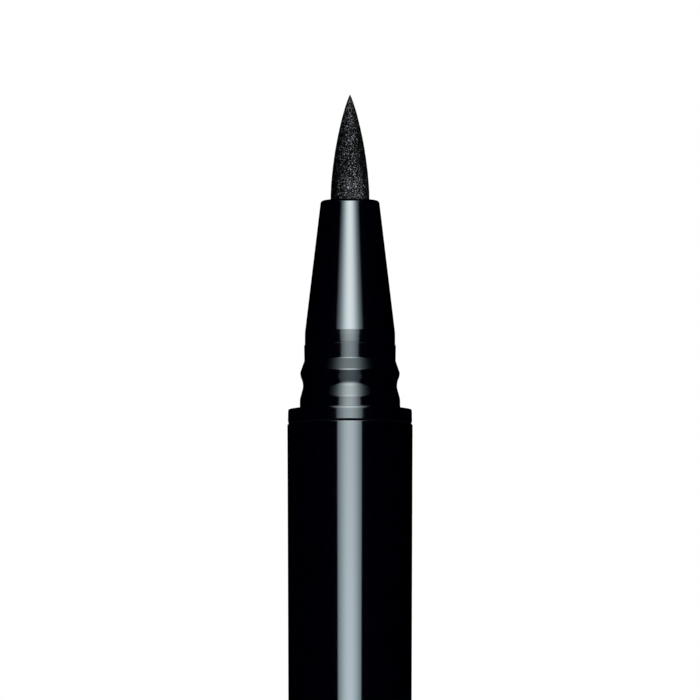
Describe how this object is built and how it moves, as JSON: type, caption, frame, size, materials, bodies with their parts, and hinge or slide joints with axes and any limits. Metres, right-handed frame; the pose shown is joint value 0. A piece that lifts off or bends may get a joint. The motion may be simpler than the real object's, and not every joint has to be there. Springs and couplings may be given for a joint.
{
  "type": "liquid eyeliner pen",
  "caption": "Slim round liquid eyeliner pen with a pointed fibre tip, stepped cap seat, ink system inside and a snap cap posted on its tail.",
  "frame": {"origin": "centre of the flat closed end of the cap, on which the pen stands", "axes": "+Z along the pen, from the cap's closed end towards the tip; +X to the right in the picture, +Y away from the camera"},
  "size_m": [0.0104, 0.0104, 0.1575],
  "materials": {
    "barrel_gloss": "polished black lacquer",
    "front_gloss": "polished black moulding",
    "fibre_tip": "ink-soaked synthetic fibre, matt",
    "pale_moulding": "satin moulding",
    "milky_moulding": "translucent milky moulding",
    "stopper_rubber": "matt rubber",
    "wick_fibre": "bonded fibre rod",
    "bright_steel": "bright stainless steel"
  },
  "bodies": {
    "pen": {"brush_tip": "fibre_tip", "nose_cone": "front_gloss", "tip_retainer": "pale_moulding", "front_section": "front_gloss", "feed_wick": "wick_fibre", "ink_collector": "milky_moulding", "tank_stopper": "stopper_rubber", "ink_tank": "milky_moulding", "tank_plug": "pale_moulding", "outer_barrel": "barrel_gloss", "tail_plug": "front_gloss"},
    "cap": {"cap_shell": "barrel_gloss", "cap_end_plug": "barrel_gloss", "cap_spring": "bright_steel"},
    "inner_cap": {"inner_cap": "milky_moulding"},
    "mixing_ball": {"mixing_ball": "bright_steel"}
  },
  "joints": [
    {"name": "cap_slide", "type": "slide", "parent": "cap", "child": "pen", "axis": [0, 0, 1], "range_m": [0, 0.012]},
    {"name": "inner_cap_slide", "type": "slide", "parent": "cap", "child": "inner_cap", "axis": [0, 0, -1], "range_m": [0, 0.0015], "stiffness_N_per_m": 150, "springref_m": -0.0019, "deforming": ["cap_spring"]},
    {"name": "mixing_ball_slide", "type": "slide", "parent": "pen", "child": "mixing_ball", "axis": [0, 0, 1], "range_m": [0, 0.0428]}
  ]
}
